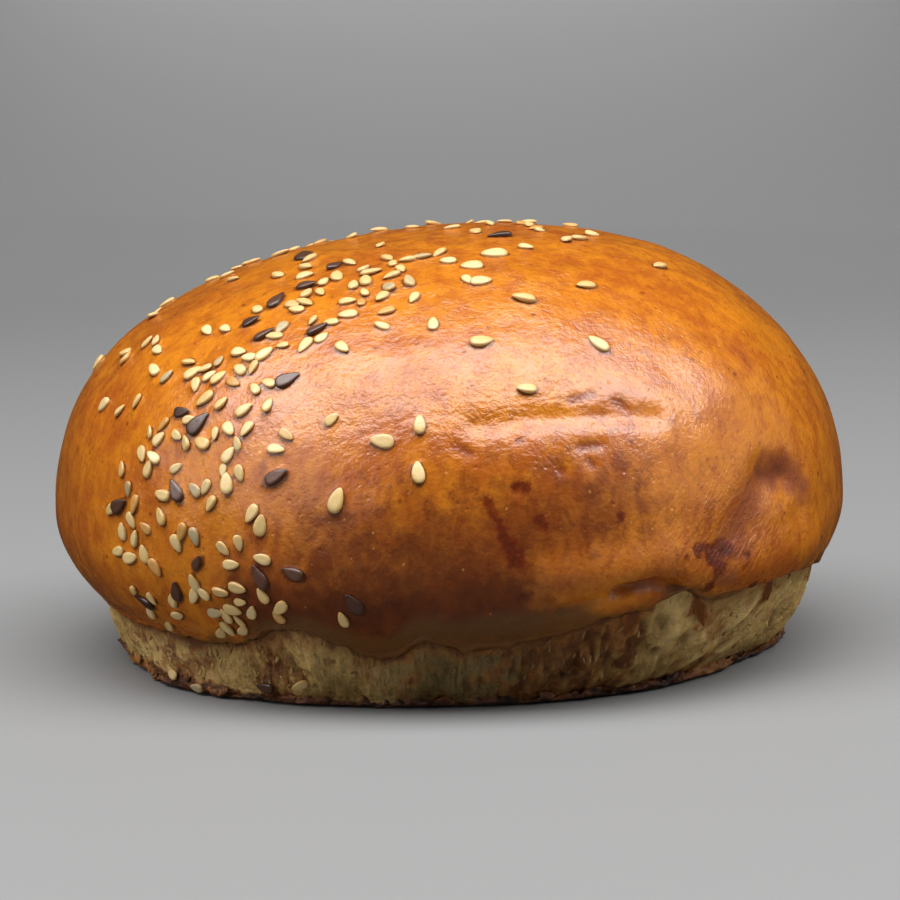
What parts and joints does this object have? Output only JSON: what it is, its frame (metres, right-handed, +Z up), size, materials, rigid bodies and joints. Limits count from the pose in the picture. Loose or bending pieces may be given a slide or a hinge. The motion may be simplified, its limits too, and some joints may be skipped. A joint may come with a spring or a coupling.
{
  "type": "brioche roll",
  "caption": "Round glazed brioche roll with a domed golden crust, a torn pale band above its flat foot, and sesame and flax seeds baked onto it.",
  "frame": {"origin": "middle of the flat foot that the roll rests on, on the surface it stands on", "axes": "+Z up through the dome, front towards -Y, +X to the right as seen from the front"},
  "size_m": [0.1152, 0.1126, 0.0617],
  "materials": {
    "baked_crust": "egg-glazed golden brown crust with a soft sheen",
    "crumb": "torn pale yellow crumb, matt and stringy",
    "sesame": "hulled cream seed, satin",
    "flax": "dark brown seed, glossy"
  },
  "bodies": {
    "root": {"brioche_roll": "baked_crust"}
  },
  "joints": []
}
